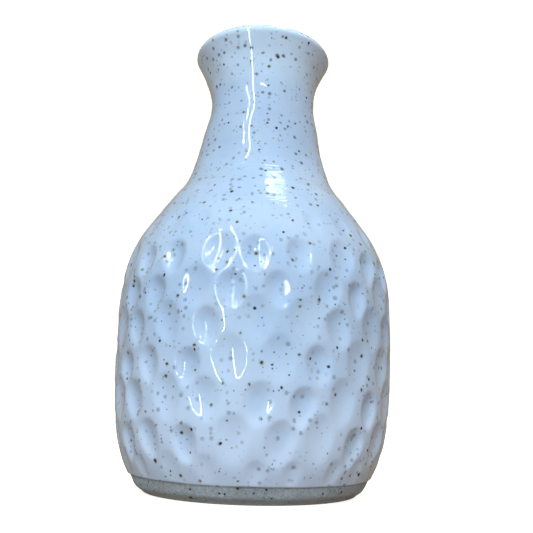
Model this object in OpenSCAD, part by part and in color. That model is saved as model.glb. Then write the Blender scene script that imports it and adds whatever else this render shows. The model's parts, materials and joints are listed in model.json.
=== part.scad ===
// Ceramic bud vase: a thrown and thumb-carved stoneware bottle with a glaze coat
// outside and a liner glaze inside. Millimetres, +Z up, origin at the middle of
// the foot, on the surface that the vase stands on.

/* [Vase] */
// Overall height, foot to lip
height = 125; // [115:1:135]
// Largest outside diameter of the body
belly_d = 74; // [70:1:78]
// Smallest outside diameter of the neck
neck_d = 30; // [29:0.5:32]
// Outside diameter of the flared lip
lip_d = 39.4; // [38:0.2:42]
// Diameter of the round-over on the lip
lip_round_d = 4.4; // [4:0.2:5]

/* [Foot] */
// Diameter of the foot where it touches the table
foot_d = 55; // [52:1:56]
// Height of the bevel that undercuts the foot
bevel_h = 1.9; // [1.5:0.1:2.5]
// Diameter at the top of that bevel
bevel_d = 59.6; // [58.6:0.2:60.4]
// Inside diameter of the foot ring
foot_ring_inner_d = 43; // [38:1:45]
// Depth of the hollow inside the foot ring
foot_hollow_h = 1.2; // [0.8:0.1:2]

/* [Glaze] */
// Thickness of both glaze coats
glaze_t = 0.5; // [0.3:0.1:0.6]
// Height of the line where the outer glaze stops
glaze_line_z = 4.2; // [3.6:0.1:5]

/* [Inside] */
// Diameter of the straight throat, glaze to glaze
throat_d = 23; // [20:0.5:24]
// Height of the lower end of the straight throat
throat_low_z = 101; // [98:1:104]
// Height of the upper end of the straight throat
throat_high_z = 111; // [108:1:113]
// Height of the glazed floor at its middle
floor_z = 6; // [5:0.5:8]

/* [Carving] */
// Rows of thumb-sized dimples, counting the shallow one at the foot
dimple_rows = 8; // [6:1:8]
// Dimples in each row
dimples_per_row = 22; // [16:1:23]
// Height of the shallow row at the foot
foot_row_z = 8; // [7.5:0.5:9]
// Height of the lowest full row
full_row_z = 14.4; // [14:0.2:15]
// Distance between full rows
row_pitch = 8.6; // [8:0.1:8.6]
// Turn of the whole pattern about the axis
carving_turn = -32; // [-180:1:180]
// Depth of a full dimple
dimple_depth = 0.7; // [0.5:0.05:0.9]
// Radius of the tool's scoop
scoop_r = 27; // [22:1:32]
// Share of the depth that the row at the foot has
foot_row_share = 0.4; // [0.3:0.05:0.5]
// Share of the depth that the top row has, where the carving fades out
top_row_share = 0.45; // [0.3:0.05:1]
// Unevenness of the hand carving, in millimetres
carving_wander = 1.2; // [0:0.1:1.3]

/* [Hidden] */
$fn = 96;

belly_r = belly_d / 2;
neck_r = neck_d / 2;
lip_r = lip_d / 2;
lip_round_r = lip_round_d / 2;
lip_centre_r = lip_r - lip_round_r;
lip_centre_z = height - lip_round_r;
mouth_clay_r = lip_centre_r - lip_round_r + glaze_t;
throat_r = throat_d / 2;
inner_belly_r = belly_r - 4;
lip_steps = 12;
lean_span = 3;
scoop_reach = 1.25 * sqrt(2 * scoop_r * dimple_depth);
scoop_out = 3;

// ---- smooth outlines ----
function catmull(p0, p1, p2, p3, t) =
    0.5 * (2 * p1 + (p2 - p0) * t + (2 * p0 - 5 * p1 + 4 * p2 - p3) * t * t
        + (3 * p1 - p0 - 3 * p2 + p3) * t * t * t);
function at(list, i) = list[max(0, min(len(list) - 1, i))];
function smooth(keys, steps) = concat(
    [for (i = [0:len(keys) - 2]) for (s = [0:steps - 1])
        catmull(at(keys, i - 1), at(keys, i), at(keys, i + 1), at(keys, i + 2), s / steps)],
    [at(keys, len(keys) - 1)]);

// Each point moved to its left by d, square to the line through its neighbours.
function moved(points, d) = [for (i = [0:len(points) - 1])
    let (way = at(points, i + 1) - at(points, i - 1), size = norm(way))
    points[i] + d * [-way[1], way[0]] / size];
function arc(centre, r, from, to, steps) =
    [for (i = [0:steps]) let (a = from + (to - from) * i / steps)
        centre + r * [cos(a), sin(a)]];
function backwards(points) = [for (i = [len(points) - 1:-1:0]) points[i]];

// ---- the outside, as [radius, height], from the glaze line up ----
carved_keys = [
    [0.855 * belly_r, glaze_line_z],
    [0.91 * belly_r, 8.5],
    [0.96 * belly_r, 15],
    [0.99 * belly_r, 25],
    [belly_r, 38],
    [0.995 * belly_r, 50],
    [0.965 * belly_r, 58],
    [0.9 * belly_r, 64.5],
    [0.81 * belly_r, 70]];
neck_keys = [
    [0.81 * belly_r, 70],
    [0.69 * belly_r, 76.5],
    [neck_r + 5.7, 83],
    [neck_r + 3.1, 91],
    [neck_r + 1.5, 99],
    [neck_r + 0.1, 106],
    [neck_r + 0.3, 111.5],
    [neck_r + 1.8, 117],
    [lip_r, lip_centre_z]];
outside = concat(carved_keys, [for (i = [1:len(smooth(neck_keys, 4)) - 1]) smooth(neck_keys, 4)[i]]);
function outside_r(z) = lookup(z, [for (p = outside) [p[1], p[0]]]);

// ---- the inside, from the lip down to the middle of the floor ----
mouth_keys = [
    [lip_centre_r - lip_round_r, lip_centre_z],
    [throat_r + 2.2, 118.4],
    [throat_r + 0.6, 114.4],
    [throat_r, throat_high_z]];
cavity_keys = [
    [throat_r, throat_low_z],
    [throat_r + 1.6, 94.5],
    [throat_r + 3.6, 88],
    [throat_r + 7.2, 81],
    [0.715 * inner_belly_r, 74],
    [0.86 * inner_belly_r, 67],
    [0.95 * inner_belly_r, 60],
    [0.99 * inner_belly_r, 51],
    [inner_belly_r, 38],
    [0.99 * inner_belly_r, 24],
    [0.945 * inner_belly_r, 14.5],
    [0.86 * inner_belly_r, floor_z + 2.8],
    [0.72 * inner_belly_r, floor_z + 0.5],
    [0, floor_z]];
inside = concat(smooth(mouth_keys, 4), smooth(cavity_keys, 3));

glaze_lip = arc([lip_centre_r, lip_centre_z], lip_round_r, 0, 180, lip_steps);
clay_lip = arc([lip_centre_r, lip_centre_z], lip_round_r - glaze_t, 0, 180, lip_steps);

function without_last(points) = [for (i = [0:len(points) - 2]) points[i]];
function without_first(points) = [for (i = [1:len(points) - 1]) points[i]];
clay_outside = without_last(moved(outside, glaze_t));
clay_inside = let (raw = without_first(moved(inside, glaze_t)))
    concat(without_last(raw), [[0, floor_z - glaze_t]]);

// ---- carving ----
// A steady number from -1 to 1 for each dimple, so the carving looks hand-made.
function wander(row, turn, kind) = let (step = row - 1)
    sin(step * step * 96.4 + turn * turn * 66.8 + step * turn * 11.1 + kind * 97);
function row_z(row) = row == 0 ? foot_row_z : full_row_z + (row - 1) * row_pitch;
function row_share(row) =
    row == 0 ? foot_row_share : row == dimple_rows - 1 ? top_row_share : 1;
function lean(z) = atan2(outside_r(z - lean_span) - outside_r(z + lean_span), 2 * lean_span);

// The tip of a large ball, cut off by a collar that stays clear of the wall.
module scoop(extra) intersection() {
    translate([scoop_r, 0, 0]) sphere(r = scoop_r + extra);
    rotate([0, 90, 0]) cylinder(r = scoop_reach, h = 2 * scoop_out, center = true);
}

// One row of scoops, each square to the wall.
module dimple_row(extra, row)
    for (turn = [0:dimples_per_row - 1]) {
        z = row_z(row) + carving_wander * row_share(row) * wander(row, turn, 0);
        slide = carving_wander * wander(row, turn, 1) / belly_r * 180 / PI;
        depth = dimple_depth * row_share(row) * (1 + 0.18 * wander(row, turn, 2));
        stagger = ((row + 1) % 2) / 2;
        rotate(carving_turn + (turn + stagger) * 360 / dimples_per_row + slide)
            translate([outside_r(z), 0, z]) rotate([0, -lean(z), 0])
                translate([-depth, 0, 0]) scoop(extra);
    }

// Its children with the first rows of dimples cut out of them, one row after another.
module carved(extra, rows) {
    if (rows == 0) children();
    else difference() {
        carved(extra, rows - 1) children();
        dimple_row(extra, rows - 1);
    }
}

// ---- pieces ----
// The outside of the clay, filled, from the plane of the foot up.
module clay_core() carved(glaze_t, dimple_rows) rotate_extrude() polygon(concat(
    [[0, 0], [foot_d / 2, 0], [bevel_d / 2, bevel_h]],
    clay_outside, clay_lip, [[0, lip_centre_z]]));

// The space in the clay: the hollow for water, the throat and the mouth, open at the top.
module clay_space() rotate_extrude() polygon(concat(
    [[0, lip_centre_z], [mouth_clay_r, lip_centre_z]], clay_inside));

// The shallow hollow that leaves a ring for the vase to stand on.
module foot_hollow() translate([0, 0, -foot_hollow_h])
    cylinder(r1 = foot_ring_inner_d / 2 + foot_hollow_h, r2 = foot_ring_inner_d / 2 - foot_hollow_h,
        h = 2 * foot_hollow_h);

// The fired clay: foot ring, floor, carved wall, shoulder, neck and lip.
module stoneware_body() color("darkkhaki") difference() {
    clay_core();
    clay_space();
    foot_hollow();
}

// White speckled glaze, from the glaze line up and over the lip into the mouth.
module outer_glaze() color("lightsteelblue") difference() {
    carved(0, dimple_rows) rotate_extrude() polygon(concat(
        [[0, glaze_line_z]], outside, without_first(glaze_lip),
        [[mouth_clay_r, lip_centre_z], [mouth_clay_r, lip_centre_z - lip_round_r],
         [0, lip_centre_z - lip_round_r]]));
    clay_core();
}

// Glaze poured and swirled inside, from just below the lip down over the floor.
module liner_glaze() color("aliceblue") rotate_extrude() polygon(concat(
    inside, backwards(clay_inside), [[mouth_clay_r, lip_centre_z]]));

stoneware_body();
outer_glaze();
liner_glaze();
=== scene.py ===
"""Looks of a small thumb-carved, speckled stoneware bud vase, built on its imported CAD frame.

Shapes are worked out in millimetres as lines of [radius, height], turned about the vase's
axis, and written in metres. The dimples are placed by the design's own rule, up to
half a millimetre higher, and are softer, deeper and more like teardrops than its scoops.
"""

import json
import math

import bpy
import numpy as np
from mathutils import Matrix, Vector


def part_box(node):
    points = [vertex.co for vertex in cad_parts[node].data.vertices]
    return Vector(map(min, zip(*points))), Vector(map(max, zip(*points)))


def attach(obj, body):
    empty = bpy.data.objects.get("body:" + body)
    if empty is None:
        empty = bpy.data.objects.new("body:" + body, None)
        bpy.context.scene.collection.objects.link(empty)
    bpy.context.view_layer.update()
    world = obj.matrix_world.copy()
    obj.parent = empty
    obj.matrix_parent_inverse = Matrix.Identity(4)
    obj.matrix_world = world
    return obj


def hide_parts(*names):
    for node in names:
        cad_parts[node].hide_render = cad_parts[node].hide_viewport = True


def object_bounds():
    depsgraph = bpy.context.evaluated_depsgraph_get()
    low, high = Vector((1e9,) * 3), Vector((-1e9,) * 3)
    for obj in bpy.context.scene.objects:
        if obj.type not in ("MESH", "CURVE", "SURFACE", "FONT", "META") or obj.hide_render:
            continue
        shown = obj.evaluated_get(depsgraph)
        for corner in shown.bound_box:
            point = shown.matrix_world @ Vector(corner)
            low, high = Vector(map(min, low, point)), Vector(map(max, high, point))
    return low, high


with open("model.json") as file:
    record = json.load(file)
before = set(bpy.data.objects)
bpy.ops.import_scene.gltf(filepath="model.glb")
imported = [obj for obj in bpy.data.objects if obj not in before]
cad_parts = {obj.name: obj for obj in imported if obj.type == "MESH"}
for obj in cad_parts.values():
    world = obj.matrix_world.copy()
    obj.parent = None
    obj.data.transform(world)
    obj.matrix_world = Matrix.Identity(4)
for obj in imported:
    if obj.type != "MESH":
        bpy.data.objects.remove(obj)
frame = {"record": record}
cad_low, cad_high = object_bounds()

MM = 0.001

# ---- the vase, in millimetres ----
HEIGHT = cad_high.z / MM
BELLY_R = -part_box("outer_glaze")[0].x / MM
NECK_R = 15.0
LIP_R = 19.7
LIP_ROUND_R = 2.2
LIP_CENTRE_R = LIP_R - LIP_ROUND_R
LIP_CENTRE_Z = HEIGHT - LIP_ROUND_R
MOUNTS = {mount["name"]: mount for mount in frame["record"]["mounts"]}
THROAT_R = MOUNTS["throat"]["dims"]["r_mm"]
THROAT_LOW_Z = 101.0
THROAT_HIGH_Z = 111.0
COAT = 0.5
GLAZE_LINE_Z = 4.2
FLOOR_Z = 6.0
INNER_BELLY_R = BELLY_R - 4.0
FOOT_R = 27.5
BEVEL_R = 29.8
BEVEL_H = 1.9
FOOT_RING_INNER_R = 21.5
FOOT_HOLLOW_H = 1.2

# ---- the carving ----
DIMPLE_ROWS = 8
DIMPLES_PER_ROW = 22
FOOT_ROW_Z = 8.0
FULL_ROW_Z = 14.4
ROW_PITCH = 8.6
CARVING_TURN = -32.0
FOOT_ROW_SHARE = 0.4
TOP_ROW_SHARE = 0.45
WANDER = 1.2
DIMPLE_DEPTH = 1.14
DIMPLE_HALF_WIDTH = 3.7
DIMPLE_REACH_UP = 4.2
DIMPLE_REACH_DOWN = 6.4
DIMPLE_TOP_LIFT = 0.5
WALL_POWER = 2.0
CREST_SOFTNESS = 0.14
CREST_LIFT = 0.1
CARVED_TOP_Z = 74.0
WAVER_REACH = 12

# ---- the heights in millimetres at which each change in the glaze starts and ends, painted light and shade among them ----
# Painted light: the glaze painted paler towards the foot, from here down.
FOOT_PAINTED_LIGHT = (42, 10)
# Painted shade: the neck painted darker between these two ramps.
NECK_FROM_BELOW = (84, 92)
NECK_FROM_ABOVE = (112, 102)
# Painted light: the lip painted paler, from the first height up to the second.
LIP_PAINTED_LIGHT = (107, 118)
DEEP_SPECKS = (56, 84)
RIDGES_FROM_BELOW = (66, 74)
RIDGES_FADE = (83, 89)

# ---- how finely the surfaces are drawn ----
AROUND = 360
ANGLES = np.linspace(0, 2 * math.pi, AROUND, endpoint=False)
CARVED_STEP = 0.56
PLAIN_STEP = 0.8
LIP_STEP = 0.35
HIDDEN_STEP = 3.2


# ---------------------------------------------------------------- lines
def smooth(keys, steps=12):
    """Points on a Catmull-Rom curve through the keys."""
    keys = np.array(keys, float)
    ends = np.vstack([2 * keys[0] - keys[1], keys, 2 * keys[-1] - keys[-2]])
    t = np.linspace(0, 1, steps, endpoint=False)[:, None]
    spans = []
    for a, b, c, d in zip(ends, ends[1:], ends[2:], ends[3:]):
        spans.append(0.5 * (2 * b + (c - a) * t + (2 * a - 5 * b + 4 * c - d) * t**2
                            + (3 * b - a - 3 * c + d) * t**3))
    return np.vstack(spans + [keys[-1:]])


def arc(centre, radius, start, end, steps=24):
    """Points along an arc, from one angle to another in degrees."""
    angles = np.radians(np.linspace(start, end, steps + 1))
    return np.array(centre) + radius * np.column_stack([np.cos(angles), np.sin(angles)])


class Line:
    """A line of [radius, height] that can be read at any distance along it."""

    def __init__(self, points):
        self.points = np.array(points, float)
        gaps = np.linalg.norm(np.diff(self.points, axis=0), axis=1)
        self.along = np.concatenate([[0.0], np.cumsum(gaps)])
        self.length = self.along[-1]
        way = np.gradient(self.points, self.along, axis=0)
        way /= np.linalg.norm(way, axis=1, keepdims=True)
        self.out = np.column_stack([way[:, 1], -way[:, 0]])

    def _read(self, values, along):
        return np.interp(along, self.along, values)

    def radius(self, along):
        return self._read(self.points[:, 0], along)

    def height(self, along):
        return self._read(self.points[:, 1], along)

    def outward(self, along):
        """The radius and height parts of the unit vector square to the line."""
        across, up = self._read(self.out[:, 0], along), self._read(self.out[:, 1], along)
        size = np.hypot(across, up)
        return across / size, up / size

    def at_height(self, z, last=None):
        """Distance along the line where it first reaches a height."""
        heights = self.points[:last, 1]
        return np.interp(z, heights, self.along[:len(heights)])


BELLY_KEYS = [
    [0.855 * BELLY_R, GLAZE_LINE_Z], [0.91 * BELLY_R, 8.5], [0.96 * BELLY_R, 15],
    [0.99 * BELLY_R, 25], [BELLY_R, 38], [0.995 * BELLY_R, 50], [0.965 * BELLY_R, 58],
    [0.9 * BELLY_R, 64.5], [0.81 * BELLY_R, 70]]
NECK_KEYS = [
    [0.69 * BELLY_R, 76.5], [NECK_R + 5.7, 83], [NECK_R + 3.1, 91], [NECK_R + 1.5, 99],
    [NECK_R + 0.1, 106], [NECK_R + 0.3, 111.5], [NECK_R + 1.8, 117], [LIP_R, LIP_CENTRE_Z]]
MOUTH_KEYS = [
    [LIP_CENTRE_R - LIP_ROUND_R, LIP_CENTRE_Z], [THROAT_R + 2.2, 118.4],
    [THROAT_R + 0.6, 114.4], [THROAT_R, THROAT_HIGH_Z], [THROAT_R, THROAT_LOW_Z]]
CAVITY_KEYS = [
    [THROAT_R + 1.6, 94.5], [THROAT_R + 3.6, 88], [THROAT_R + 7.2, 81],
    [0.715 * INNER_BELLY_R, 74], [0.86 * INNER_BELLY_R, 67], [0.95 * INNER_BELLY_R, 60],
    [0.99 * INNER_BELLY_R, 51], [INNER_BELLY_R, 38], [0.99 * INNER_BELLY_R, 24],
    [0.945 * INNER_BELLY_R, 14.5], [0.86 * INNER_BELLY_R, FLOOR_Z + 2.8],
    [0.72 * INNER_BELLY_R, FLOOR_Z + 0.5], [0.4 * INNER_BELLY_R, FLOOR_Z + 0.1]]

outline = smooth(BELLY_KEYS + NECK_KEYS)
OUTSIDE = Line(np.vstack([outline, arc([LIP_CENTRE_R, LIP_CENTRE_Z], LIP_ROUND_R, 0, 180)[1:]]))
INSIDE = Line(np.vstack([smooth(MOUTH_KEYS + CAVITY_KEYS), [[0.0, FLOOR_Z]]]))
NECK_TOP = OUTSIDE.at_height(LIP_CENTRE_Z, len(outline))
CARVED_TOP = OUTSIDE.at_height(CARVED_TOP_Z, len(outline))


# ---------------------------------------------------------------- hand work
def fade(value, start, end):
    """0 before start, 1 after end, and a smooth step between them."""
    t = np.clip((value - start) / (end - start), 0, 1)
    return t * t * (3 - 2 * t)


def wander(row, turn, kind):
    """A steady number from -1 to 1 for each dimple, so the carving looks hand-made."""
    step = row - 1
    return math.sin(math.radians(step * step * 96.4 + turn * turn * 66.8
                                 + step * turn * 11.1 + kind * 97))


def dimples():
    """The angle, place along the outline, depth, lean and size of each dimple."""
    for row in range(DIMPLE_ROWS):
        share = {0: FOOT_ROW_SHARE, DIMPLE_ROWS - 1: TOP_ROW_SHARE}.get(row, 1.0)
        height = FOOT_ROW_Z if row == 0 else FULL_ROW_Z + (row - 1) * ROW_PITCH
        for turn in range(DIMPLES_PER_ROW):
            z = height + WANDER * share * wander(row, turn, 0) + DIMPLE_TOP_LIFT * share
            slide = WANDER * wander(row, turn, 1) / BELLY_R
            place = (turn + ((row + 1) % 2) / 2) * 2 * math.pi / DIMPLES_PER_ROW
            angle = math.radians(CARVING_TURN) + place + slide
            depth = DIMPLE_DEPTH * share * (1 + 0.24 * wander(row, turn, 2))
            lean = math.radians(14) * wander(row, turn, 3)
            size = math.sqrt(share) ** 0.8 * (1 + 0.12 * wander(row, turn, 4))
            yield angle, OUTSIDE.at_height(z, len(outline)), depth, lean, size


def carving(angle, along):
    """How deep the carving is at each point, with soft crests where dimples meet."""
    total = np.ones_like(angle)
    for place, middle, depth, lean, size in dimples():
        aside = (angle - place + math.pi) % (2 * math.pi) - math.pi
        across = aside * OUTSIDE.radius(middle)
        up = along - middle
        side = across * math.cos(lean) + up * math.sin(lean)
        rise = up * math.cos(lean) - across * math.sin(lean)
        reach = np.where(rise > 0, DIMPLE_REACH_UP, DIMPLE_REACH_DOWN) * size
        far = (np.hypot(side / (DIMPLE_HALF_WIDTH * size), rise / reach)) ** WALL_POWER
        total += np.exp(depth * (1 - np.minimum(far, 40)) / CREST_SOFTNESS)
    return np.maximum(0, CREST_SOFTNESS * np.log(total) - CREST_LIFT)


def lumps(angle, z):
    """Slow unevenness of the thrown wall, stronger on the neck, where it may go both ways."""
    rng = np.random.default_rng(41)
    total = np.zeros_like(angle)
    for _ in range(26):
        waves = rng.integers(2, 12)
        tall = rng.uniform(-1, 1) * 2 * math.pi / 11
        total += np.sin(waves * angle + tall * z + rng.uniform(0, 2 * math.pi)) / (2 + 0.4 * waves)
    up = fade(z, 70, 88)
    return (0.03 + 0.035 * up) * total + 0.09 * (1 - up) - finger_marks(angle, z)


def finger_marks(angle, z):
    """Shallow upright facets on the neck, where the potter's fingers held it."""
    place = angle + math.radians(103)
    low = 0.16 * np.sin(5 * place) * fade(z, 74, 88) * (1 - fade(z, 108, 115))
    return low + 0.08 * np.sin(7 * place) * np.exp(-((z - 105) / 4.5) ** 2)


def throwing_lines(angle, z):
    """Faint spiral rings that the fingers leave, strongest on the neck and the shoulder."""
    strength = 0.25 + 0.75 * fade(z, 64, 76)
    rings = 0.022 * np.sin(2 * math.pi * z / 4.6 + angle)
    rings += 0.012 * np.sin(2 * math.pi * z / 2.7 - angle + 1.3 * np.sin(3 * angle))
    return strength * (rings + 0.034)


def glaze_edge(above_line):
    """Share of the coat's thickness just above its rolled lower edge."""
    t = np.clip(above_line / 0.55, 0, 1)
    return np.sqrt(np.maximum(0, 1 - (1 - t) ** 2))


def line_waver(angle):
    """How far the glaze line wanders up and down, in millimetres."""
    return (0.14 * np.sin(2 * angle + 0.6) + 0.09 * np.sin(5 * angle + 2.1)
            + 0.05 * np.sin(11 * angle) + 0.03 * np.sin(23 * angle + 1))


def neck_bend(points):
    """The slight lean that the neck has, as thrown by hand."""
    z = points[..., 2]
    points[..., 0] += 0.35 * np.exp(-((z - 106) / 7) ** 2)
    points[..., 1] += 0.12 * np.exp(-((z - 112) / 9) ** 2)
    return points


def outer_points(along, below=0.0, thin_edge=False):
    """Rings of points at a depth below the glaze's face, and how far into a dimple each one is."""
    angle, place = np.meshgrid(ANGLES, along)
    moved = place + line_waver(angle) * np.exp(-place / 2.5) * (place < WAVER_REACH)
    z = OUTSIDE.height(moved)
    plain = 1 - fade(place, NECK_TOP - 2, NECK_TOP + 2)
    cut = carving(angle, moved)
    sunk = cut * (place < CARVED_TOP + 4)
    sunk = sunk + (lumps(angle, z) + throwing_lines(angle, z)) * plain
    hollow = np.clip(cut / DIMPLE_DEPTH, 0, 1)
    under = sunk + below
    if thin_edge:
        under = under + COAT * (1 - glaze_edge(place))
    across, up = OUTSIDE.outward(moved)
    return turned(angle, OUTSIDE.radius(moved) - under * across, z - under * up), hollow


def inner_points(along, below=0.0):
    """The inside of the vase, from the mouth down to the floor."""
    angle, place = np.meshgrid(ANGLES, along)
    across, up = INSIDE.outward(place)
    z = INSIDE.height(place)
    rings = 0.05 * np.sin(2 * math.pi * place / 5.2 + angle) * fade(place, 20, 30)
    rings = rings * (1 - fade(place, INSIDE.length - 14, INSIDE.length - 4))
    out = below + rings
    return turned(angle, INSIDE.radius(place) - out * across, z - out * up)


def turned(angle, radius, z):
    """Points in millimetres at angles about the axis."""
    return np.stack([radius * np.cos(angle), radius * np.sin(angle), z], axis=-1)


def plain_rings(line):
    """A line turned about the axis as it is."""
    angle, radius = np.meshgrid(ANGLES, line[:, 0])
    return turned(angle, radius, np.broadcast_to(line[:, 1:2], angle.shape))


def places(start, end, step):
    """Distances along a line from start to end, with steps of about one size."""
    return np.linspace(start, end, max(2, round(abs(end - start) / step) + 1))


# ---------------------------------------------------------------- meshes
def ring_faces(rows, closed):
    """Quads between rings of AROUND points, and back to the first ring if closed."""
    row, step = np.meshgrid(np.arange(rows if closed else rows - 1), np.arange(AROUND), indexing="ij")
    after = (step + 1) % AROUND
    above = (row + 1) % rows
    return np.stack([row * AROUND + step, row * AROUND + after,
                     above * AROUND + after, above * AROUND + step], axis=-1).reshape(-1, 4)


def shell(name, rings, start=None, end=None):
    """A mesh from rings of points: a closed tube, or one that ends in a point at each pole."""
    rows = len(rings)
    points = neck_bend(np.array(rings, float).reshape(-1, 3))
    poles = [np.array(pole, float) for pole in (start, end) if pole is not None]
    faces = ring_faces(rows, closed=not poles).tolist()
    if poles:
        first, last = len(points), len(points) + 1
        top = (rows - 1) * AROUND
        for step in range(AROUND):
            after = (step + 1) % AROUND
            faces.append([first, after, step])
            faces.append([last, top + step, top + after])
        points = np.vstack([points, poles])
    mesh = bpy.data.meshes.new(name)
    mesh.from_pydata((points * MM).tolist(), [], faces)
    mesh.validate()
    mesh.shade_smooth()
    piece = bpy.data.objects.new(name, mesh)
    bpy.context.scene.collection.objects.link(piece)
    return piece


def add_values(piece, name, values):
    """A value at each point of a mesh, for its material to read."""
    layer = piece.data.attributes.new(name, "FLOAT", "POINT")
    padded = np.zeros(len(piece.data.vertices), np.float32)
    padded[:len(values)] = values
    layer.data.foreach_set("value", padded)


def make_outer_glaze():
    """The glaze coat: carved skin from its rolled edge up, over the lip, and back beneath."""
    edge = np.array([0.0, 0.03, 0.09, 0.18, 0.3, 0.44, 0.62, 0.85, 1.15, 1.6])
    visible = np.concatenate([
        edge, places(2.1, CARVED_TOP, CARVED_STEP), places(CARVED_TOP, NECK_TOP, PLAIN_STEP)[1:],
        places(NECK_TOP, OUTSIDE.length, LIP_STEP)[1:]])
    hidden = places(OUTSIDE.length, 0.8, HIDDEN_STEP)
    skin, hollow = outer_points(visible, thin_edge=True)
    back, _ = outer_points(hidden, below=COAT)
    piece = shell("glaze_coat", np.concatenate([skin, back]))
    add_values(piece, "hollow", hollow.ravel())
    return piece


def foot_line():
    """The bare clay of the underside, from near the axis out to the glaze line."""
    ring_in = FOOT_RING_INNER_R
    top = [BEVEL_R, BEVEL_H]
    under_glaze = OUTSIDE.points[0] - COAT * OUTSIDE.out[0]
    return np.vstack([
        places_between([1.5, FOOT_HOLLOW_H], [ring_in - 1.6, FOOT_HOLLOW_H], 1.0),
        smooth([[ring_in - 1.0, FOOT_HOLLOW_H - 0.05], [ring_in - 0.1, 0.55], [ring_in + 0.5, 0.1],
                [ring_in + 1.1, 0.0]], 5),
        places_between([ring_in + 1.7, 0.0], [FOOT_R - 0.9, 0.0], 0.9),
        smooth([[FOOT_R - 0.45, 0.0], [FOOT_R + 0.1, 0.12], [FOOT_R + 0.7, 0.6],
                [top[0] - 0.5, top[1] - 0.55], [top[0] + 0.1, top[1] + 0.1],
                [top[0] + 0.55, top[1] + 0.85], under_glaze], 5)])


def places_between(start, end, step):
    """Points along a straight line, with steps of about one size."""
    start, end = np.array(start, float), np.array(end, float)
    count = max(2, round(np.linalg.norm(end - start) / step) + 1)
    return start + np.linspace(0, 1, count)[:, None] * (end - start)


def turning_marks(rings):
    """Fine grooves left by the trimming tool under the foot and round the bare band."""
    radius = np.hypot(rings[..., 0], rings[..., 1])
    angle = np.arctan2(rings[..., 1], rings[..., 0])
    under = (rings[..., 2] > 0.9) & (radius < FOOT_RING_INNER_R)
    rings[..., 2] += under * 0.05 * np.sin(2 * math.pi * radius / 2.1 + angle)
    band = fade(rings[..., 2], 0.3, 1.0) * (radius > FOOT_R)
    dent = band * (0.03 + 0.03 * np.sin(9 * angle + 3 * rings[..., 2]) * np.sin(4 * angle))
    scale = 1 - dent / radius
    rings[..., 0] *= scale
    rings[..., 1] *= scale
    return rings


def make_stoneware():
    """The fired clay: bare foot, the wall under the glaze, and the wall round the water."""
    foot = turning_marks(plain_rings(foot_line()))
    waver = line_waver(np.broadcast_to(ANGLES, foot.shape[:2]))
    lift = fade(foot[..., 2], 1.5, GLAZE_LINE_Z)
    foot[..., 2] += np.where(foot[..., 2] > 1.5, lift * waver * 0.85, 0)
    wall, _ = outer_points(places(0.35, NECK_TOP, 1.6), below=COAT)
    lip, _ = outer_points(places(NECK_TOP, OUTSIDE.length, 0.5)[1:], below=COAT)
    space = inner_points(places(0.9, INSIDE.length - 1.2, 2.4), below=COAT)
    return shell("clay_body", np.concatenate([foot, wall, lip, space]),
                 start=[0, 0, FOOT_HOLLOW_H], end=[0, 0, FLOOR_Z - COAT])


def make_liner():
    """The glaze inside: its back from the floor up to the lip, then its face back down."""
    back = inner_points(places(INSIDE.length - 1.2, 0.45, 2.4), below=COAT)
    front = inner_points(places(0.0, INSIDE.length - 1.2, 1.1))
    return shell("liner_coat", np.concatenate([back, front]),
                 start=[0, 0, FLOOR_Z - COAT], end=[0, 0, FLOOR_Z])


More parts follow.
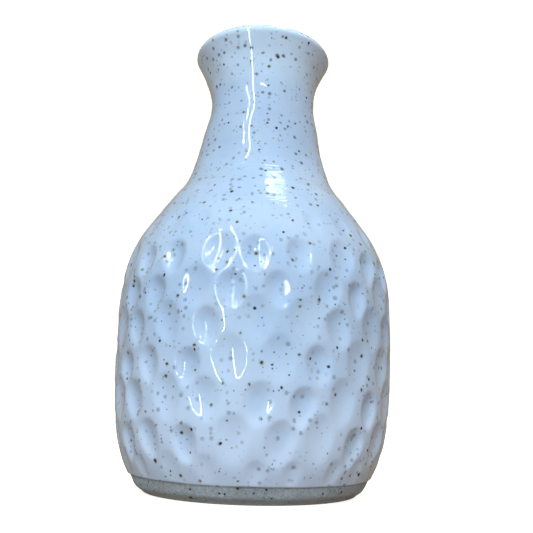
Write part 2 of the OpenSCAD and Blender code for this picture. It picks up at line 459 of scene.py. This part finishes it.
# ---------------------------------------------------------------- materials
class Look:
    """One material's node tree, with short calls for the nodes that it uses."""

    def __init__(self, name):
        self.material = bpy.data.materials.new(name)
        self.material.use_nodes = True
        self.tree = self.material.node_tree
        self.shader = self.tree.nodes["Principled BSDF"]
        self.place = self.scaled_place()

    def set(self, socket, value):
        """Link a socket to another one, or give it a plain value."""
        if isinstance(value, bpy.types.NodeSocket):
            self.tree.links.new(value, socket)
        else:
            socket.default_value = value

    def node(self, kind, inputs=(), **settings):
        """A new node with its settings and inputs."""
        made = self.tree.nodes.new(kind)
        for key, value in settings.items():
            setattr(made, key, value)
        for key, value in dict(inputs).items():
            self.set(made.inputs[key], value)
        return made

    def scaled_place(self):
        """Each point's place on the object, in millimetres."""
        place = self.node("ShaderNodeTexCoord").outputs["Object"]
        return self.vector("SCALE", place, Scale=1 / MM)

    def vector(self, operation, first, second=None, **more):
        """One step of vector arithmetic."""
        made = self.node("ShaderNodeVectorMath", {0: first}, operation=operation)
        if second is not None:
            self.set(made.inputs[1], second)
        for key, value in more.items():
            self.set(made.inputs[key], value)
        return made.outputs[0]

    def math(self, operation, first, second):
        """One step of arithmetic."""
        made = self.node("ShaderNodeMath", {0: first, 1: second}, operation=operation)
        return made.outputs[0]

    def noise(self, size, detail=2.0, place=None, rough=0.5):
        """Noise whose features are about size millimetres across."""
        made = self.node("ShaderNodeTexNoise", {
            "Vector": place or self.place, "Scale": 1 / size, "Detail": detail, "Roughness": rough})
        return made.outputs["Fac"]

    def ramp(self, value, low, high, to_low=0.0, to_high=1.0):
        """The value moved from one range into another, with smooth ends."""
        made = self.node("ShaderNodeMapRange", {
            "Value": value, "From Min": low, "From Max": high, "To Min": to_low, "To Max": to_high},
            interpolation_type="SMOOTHSTEP")
        return made.outputs["Result"]

    def mix(self, share, first, second):
        """The first colour, with a share of the second over it."""
        made = self.node("ShaderNodeMix", data_type="RGBA", blend_type="MIX")
        self.set(made.inputs["Factor"], share)
        self.set(made.inputs[6], first)
        self.set(made.inputs[7], second)
        return made.outputs[2]

    def specks(self, cell, radius, soft, shift, few):
        """Round grains: a mask, a steady number for each, how far outside one a point is, and which
        cells have one at all. The share few of the cells is left empty."""
        wobble = self.node("ShaderNodeTexNoise", {"Vector": self.place, "Scale": 2.2, "Detail": 1.0})
        bent = self.vector("SUBTRACT", wobble.outputs["Color"], (0.5, 0.5, 0.5))
        bent = self.vector("SCALE", bent, Scale=0.4)
        bent = self.vector("ADD", self.place, bent)
        place = self.vector("ADD", bent, (shift, shift * 0.7, shift * 1.3))
        cells = self.node("ShaderNodeTexVoronoi", {"Vector": place, "Scale": 1 / cell})
        random = self.node("ShaderNodeSeparateColor", {"Color": cells.outputs["Color"]})
        size = self.ramp(random.outputs["Red"], few, 1.0, 0.4 * radius / cell, radius / cell)
        outside = self.math("SUBTRACT", cells.outputs["Distance"], size)
        present = self.math("GREATER_THAN", random.outputs["Red"], few)
        mask = self.math("MULTIPLY", self.ramp(outside, -soft / cell, 0.0, 1.0, 0.0), present)
        return mask, random.outputs["Green"], self.math("MULTIPLY", outside, cell), present

    def bump(self, height, strength, depth, normal=None):
        """A bump from a height in millimetres times depth."""
        made = self.node("ShaderNodeBump", {
            "Height": height, "Strength": strength, "Distance": depth * MM})
        if normal is not None:
            self.tree.links.new(normal, made.inputs["Normal"])
        return made.outputs["Normal"]

    def finish(self, **inputs):
        """The material, with these inputs of its surface set."""
        for key, value in inputs.items():
            self.set(self.shader.inputs[key.replace("_", " ")], value)
        return self.material


def opaque(red, green, blue):
    """A colour with nothing see-through about it."""
    return (red, green, blue, 1.0)


def shade(colour, red, green, blue):
    """A colour with each of its parts multiplied."""
    return opaque(colour[0] * red, colour[1] * green, colour[2] * blue)


def iron_specks(look, colour, amount, blurred):
    """Dark iron grains with rusty halos, and blurred slate ones that lie deeper in the glaze."""
    cloud = look.noise(17, 2.0)
    deep, _, _, _ = look.specks(cell=1.8, radius=0.78, soft=0.5, shift=3.1, few=0.18)
    deep = look.math("MULTIPLY", deep, look.ramp(cloud, 0.35, 0.6, 0.55, 1.0))
    colour = look.mix(look.math("MULTIPLY", deep, blurred), colour, opaque(0.1, 0.14, 0.21))
    dust, _, _, _ = look.specks(cell=1.25, radius=0.3, soft=0.16, shift=7.7, few=0.35)
    dust = look.math("MULTIPLY", dust, look.ramp(cloud, 0.3, 0.6, 0.4 * amount, 0.9 * amount))
    colour = look.mix(dust, colour, opaque(0.09, 0.1, 0.11))
    dark, kind, outside, present = look.specks(cell=2.15, radius=0.48, soft=0.2, shift=0.0, few=0.4)
    halo = look.math("MULTIPLY", look.ramp(outside, -0.1, 0.3, 0.6 * amount, 0.0), present)
    rust = look.math("MULTIPLY", halo, look.ramp(kind, 0.5, 0.6))
    colour = look.mix(rust, colour, opaque(0.22, 0.22, 0.1))
    ink = look.mix(look.ramp(kind, 0.4, 0.65), opaque(0.01, 0.015, 0.028), opaque(0.025, 0.022, 0.01))
    return look.mix(look.math("MULTIPLY", dark, 0.95 * amount), colour, ink), dark


def glaze(name, milk, amount, hollow_shade_share=0.0):
    """Glossy pale glaze with iron specks, cloudy; painted light at foot and lip, painted shade on neck
    and dimples.
    """
    look = Look(name)
    cloud = look.noise(13, 3.0)
    patch = look.noise(3.4, 2.0)
    pale = opaque(*milk)
    deeper = shade(milk, 0.86, 0.91, 0.96)
    colour = look.mix(look.ramp(cloud, 0.3, 0.7), pale, deeper)
    colour = look.mix(look.ramp(patch, 0.42, 0.75, 0.0, 0.3), colour, deeper)
    height = look.node("ShaderNodeSeparateXYZ", {0: look.place}).outputs["Z"]
    # Painted light: the glaze painted paler towards the foot, standing in for light from below on the
    # lower belly.
    painted_foot_light = shade(milk, 1.27, 1.21, 1.17)
    colour = look.mix(look.ramp(height, *FOOT_PAINTED_LIGHT, 0.0, 0.8), colour, painted_foot_light)
    # Painted shade: the neck painted a little darker.
    painted_neck_shade = look.math("MULTIPLY", look.ramp(height, *NECK_FROM_BELOW), look.ramp(height, *NECK_FROM_ABOVE))
    colour = look.mix(painted_neck_shade, colour, look.vector("MULTIPLY", colour, (0.93, 0.92, 0.92)))
    # Painted light: the lip painted paler, standing in for light from below on its downward-facing flare.
    painted_lip_light = shade(milk, 1.26, 1.25, 1.18)
    colour = look.mix(look.ramp(height, *LIP_PAINTED_LIGHT), colour, painted_lip_light)
    # Painted shade: the glaze painted darker the deeper into a dimple it lies.
    if hollow_shade_share:
        hollow = look.node("ShaderNodeAttribute", attribute_name="hollow").outputs["Fac"]
        painted_hollow_shade = shade(milk, 0.82, 0.87, 0.92)
        colour = look.mix(look.ramp(hollow, 0.45, 1.0, 0.0, hollow_shade_share), colour, painted_hollow_shade)
    blurred = look.ramp(height, *DEEP_SPECKS, 0.55 * amount, amount)
    colour, dark = iron_specks(look, colour, amount, blurred)
    ridges = look.node("ShaderNodeTexNoise", {
        "Vector": look.vector("MULTIPLY", look.place, (0.16, 0.16, 1.7)), "Scale": 1.0, "Detail": 2.0})
    fading = look.ramp(height, *RIDGES_FADE, 1.0, 0.1)
    above = look.math("MULTIPLY", look.ramp(height, *RIDGES_FROM_BELOW), fading)
    combed = look.math("MULTIPLY", above, look.ramp(look.noise(7, 1.0), 0.35, 0.65, 0.3, 1.0))
    normal = look.bump(look.math("MULTIPLY", ridges.outputs["Fac"], combed), 1.0, 0.2)
    normal = look.bump(look.noise(1.5, 2.0), 1.0, 0.005, normal)
    roughness = look.ramp(look.noise(2.2, 2.0), 0.3, 0.7, 0.012, 0.03)
    roughness = look.math("ADD", roughness, look.math("MULTIPLY", dark, 0.12))
    return look.finish(Base_Color=colour, Roughness=roughness, Normal=normal, IOR=1.52)


def bare_clay(name):
    """Matte fired clay: sandy grain, iron specks, painted shadow under the glaze's edge, and painted
    shade low on the bevel.
    """
    look = Look(name)
    cloud = look.ramp(look.noise(9, 3.0), 0.3, 0.7)
    colour = look.mix(cloud, opaque(0.52, 0.6, 0.74), opaque(0.4, 0.46, 0.57))
    grain = look.noise(0.5, 3.0, rough=0.7)
    colour = look.mix(look.ramp(grain, 0.35, 0.65, 0.0, 0.6), colour, opaque(0.2, 0.23, 0.28))
    height = look.node("ShaderNodeSeparateXYZ", {0: look.place}).outputs["Z"]
    # Painted shadow: a thin dark line just under the glaze's edge, where the glaze stands proud of the
    # clay.
    edge = look.ramp(height, GLAZE_LINE_Z - 0.3, GLAZE_LINE_Z - 0.05, 0.0, 0.4)
    colour = look.mix(edge, colour, opaque(0.1, 0.1, 0.11))
    # Painted shade: the clay painted darker towards the bottom of the bevel, which faces down.
    low = look.ramp(height, 2.2, 1.2, 0.0, 0.6)
    colour = look.mix(low, colour, opaque(0.28, 0.27, 0.29))
    colour, dark = iron_specks(look, colour, 1.0, 0.3)
    grit, _, _, _ = look.specks(cell=1.3, radius=0.36, soft=0.14, shift=5.2, few=0.35)
    colour = look.mix(grit, colour, opaque(0.01, 0.011, 0.014))
    normal = look.bump(grain, 0.8, 0.05)
    normal = look.bump(look.noise(0.22, 1.0), 0.7, 0.03, normal)
    roughness = look.ramp(grain, 0.3, 0.7, 0.72, 0.92)
    return look.finish(Base_Color=colour, Roughness=roughness, Normal=normal, IOR=1.45)


# ---------------------------------------------------------------- studio
CAMERA_DISTANCE = 0.185
CAMERA_HEIGHT = 0.0205
CAMERA_PITCH = math.radians(12.25)
CAMERA_YAW = math.radians(0.89)
CAMERA_ROLL = math.radians(1.65)
CAMERA_LENS = 45.32


def add_camera():
    """A close camera just above the foot, looking up at the vase, a little to its right."""
    flat = Vector((math.sin(CAMERA_YAW), math.cos(CAMERA_YAW), 0))
    right = Vector((math.cos(CAMERA_YAW), -math.sin(CAMERA_YAW), 0))
    ahead = flat * math.cos(CAMERA_PITCH) + Vector((0, 0, math.sin(CAMERA_PITCH)))
    up = Vector((0, 0, math.cos(CAMERA_PITCH))) - flat * math.sin(CAMERA_PITCH)
    side = right * math.cos(CAMERA_ROLL) + up * math.sin(CAMERA_ROLL)
    top = up * math.cos(CAMERA_ROLL) - right * math.sin(CAMERA_ROLL)
    data = bpy.data.cameras.new("camera")
    data.lens = CAMERA_LENS
    data.sensor_width = 36
    data.clip_start = 0.005
    camera = bpy.data.objects.new("camera", data)
    camera.location = (0, -CAMERA_DISTANCE, CAMERA_HEIGHT)
    camera.rotation_euler = Matrix((side, top, -ahead)).transposed().to_euler()
    bpy.context.scene.collection.objects.link(camera)
    bpy.context.scene.camera = camera


def add_light(name, place, target, size, irradiance, colour, lights=True, reflected=True):
    """A soft rectangular light that gives the target an irradiance, in watts a square metre."""
    place, target = Vector(place), Vector(target)
    data = bpy.data.lights.new(name, "AREA")
    data.shape = "RECTANGLE"
    data.size, data.size_y = size
    data.color = colour
    data.energy = irradiance * math.pi * (place - target).length_squared
    light = bpy.data.objects.new(name, data)
    light.location = place
    light.rotation_euler = (target - place).to_track_quat("-Z", "Y").to_euler()
    light.visible_diffuse = lights
    light.visible_glossy = reflected
    bpy.context.scene.collection.objects.link(light)
    return light


def toward(azimuth, elevation, distance, target=(0, 0, 0.06)):
    """A place at an angle from the target: azimuth 0 is the viewer's side, positive to the right."""
    azimuth, elevation = math.radians(azimuth), math.radians(elevation)
    way = Vector((math.sin(azimuth) * math.cos(elevation), -math.cos(azimuth) * math.cos(elevation),
                  math.sin(elevation)))
    return Vector(target) + way * distance


def add_lights():
    middle, upright = (0, 0, 0.06), (0, 0, 0.25)
    cool, pale, tint = (0.67, 0.95, 1.0), (0.9, 0.97, 1.0), (0.82, 1.0, 1.0)
    add_light("key", toward(0, 46, 0.8), middle, (0.3, 0.3), 2.18, cool, reflected=False)
    add_light("low", toward(0, 0, 0.8), (0, 0, 0.03), (0.3, 0.12), 0.72, pale, reflected=False)
    add_light("left", toward(-35, 0, 0.8), (0, 0, 0.05), (0.3, 0.3), 0.75, cool, reflected=False)
    add_light("right", toward(75, 10, 0.8), middle, (0.5, 0.5), 0.14, pale, reflected=False)
    add_light("back", toward(180, 35, 1.0), middle, (0.9, 0.6), 1.7, cool, reflected=False)
    add_light("lamp", (0.1, 0.02, 0.64), (0.1, 0.02, 0), (0.12, 0.1), 0.4, tint)
    beside = toward(-26, 0, 0.26, upright)
    tube = add_light("tube", beside, upright, (0.0055, 0.47), 2.4, tint, lights=False)
    tube.rotation_euler.rotate_axis("Z", math.radians(5))
    for step in range(8):
        add_bulb(f"left_bulb_{step}", toward(-41, 0, 0.3, (0, 0, 0.26 + 0.024 * step)))
    for step in range(4):
        add_bulb(f"right_bulb_{step}", toward(-6 + 3.5 * step, 0, 0.3, (0, 0, 0.222 + 0.012 * step)))


def add_bulb(name, place):
    """A tiny lamp that shows as a dot in the glaze."""
    add_light(name, place, (0, 0, place.z), (0.006, 0.006), 0.17, (1.0, 1.0, 1.0), lights=False)


def add_world():
    """A dim warm room: a little brighter overhead than underfoot."""
    world = bpy.data.worlds.new("studio")
    world.use_nodes = True
    nodes, links = world.node_tree.nodes, world.node_tree.links
    place = nodes.new("ShaderNodeTexCoord")
    split = nodes.new("ShaderNodeSeparateXYZ")
    ramp = nodes.new("ShaderNodeMapRange")
    ramp.inputs["From Min"].default_value = -0.6
    ramp.inputs["To Min"].default_value = 0.22
    ramp.inputs["To Max"].default_value = 0.52
    links.new(place.outputs["Generated"], split.inputs[0])
    links.new(split.outputs["Z"], ramp.inputs["Value"])
    links.new(ramp.outputs["Result"], nodes["Background"].inputs["Strength"])
    nodes["Background"].inputs["Color"].default_value = (0.98, 0.79, 0.53, 1.0)
    bpy.context.scene.world = world


def add_sweep():
    """A pale floor that curves up into a backdrop all round the vase."""
    flat, rise, tall = 1.1, 0.5, 1.6
    line = np.vstack([[[0.02, 0.0], [flat, 0.0]], arc([flat, rise], rise, -90, 0, 16)[1:],
                      [[flat + rise, tall]]])
    sides = 64
    angles = np.linspace(0, 2 * math.pi, sides, endpoint=False)
    points = [(r * math.cos(a), r * math.sin(a), z) for r, z in line for a in angles]
    faces = [[row * sides + k, row * sides + (k + 1) % sides, (row + 1) * sides + (k + 1) % sides,
              (row + 1) * sides + k] for row in range(len(line) - 1) for k in range(sides)]
    faces.append(list(range(sides))[::-1])
    mesh = bpy.data.meshes.new("sweep")
    mesh.from_pydata(points, [], faces)
    mesh.shade_smooth()
    sweep = bpy.data.objects.new("sweep", mesh)
    bpy.context.scene.collection.objects.link(sweep)
    sweep.visible_glossy = False
    sweep.visible_diffuse = False
    look = Look("pale_floor")
    mesh.materials.append(look.finish(Base_Color=opaque(0.7, 0.7, 0.7), Roughness=0.9,
                                      Emission_Color=opaque(1, 1, 1), Emission_Strength=0.85))


# ---------------------------------------------------------------- the scene
def place_piece(piece, material, node):
    """Give a piece its material and its body, and hide the design node that it replaces."""
    piece.data.materials.append(material)
    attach(piece, "root")
    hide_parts(node)


MILK = (0.488, 0.593, 0.84)
add_camera()
place_piece(make_stoneware(), bare_clay("bare_clay"), "stoneware_body")
place_piece(make_outer_glaze(), glaze("speckled_glaze", MILK, 1.0, 0.5), "outer_glaze")
place_piece(make_liner(), glaze("liner_glaze", MILK, 0.7), "liner_glaze")
add_lights()
add_world()
add_sweep()

bpy.context.scene.view_settings.view_transform = "Standard"
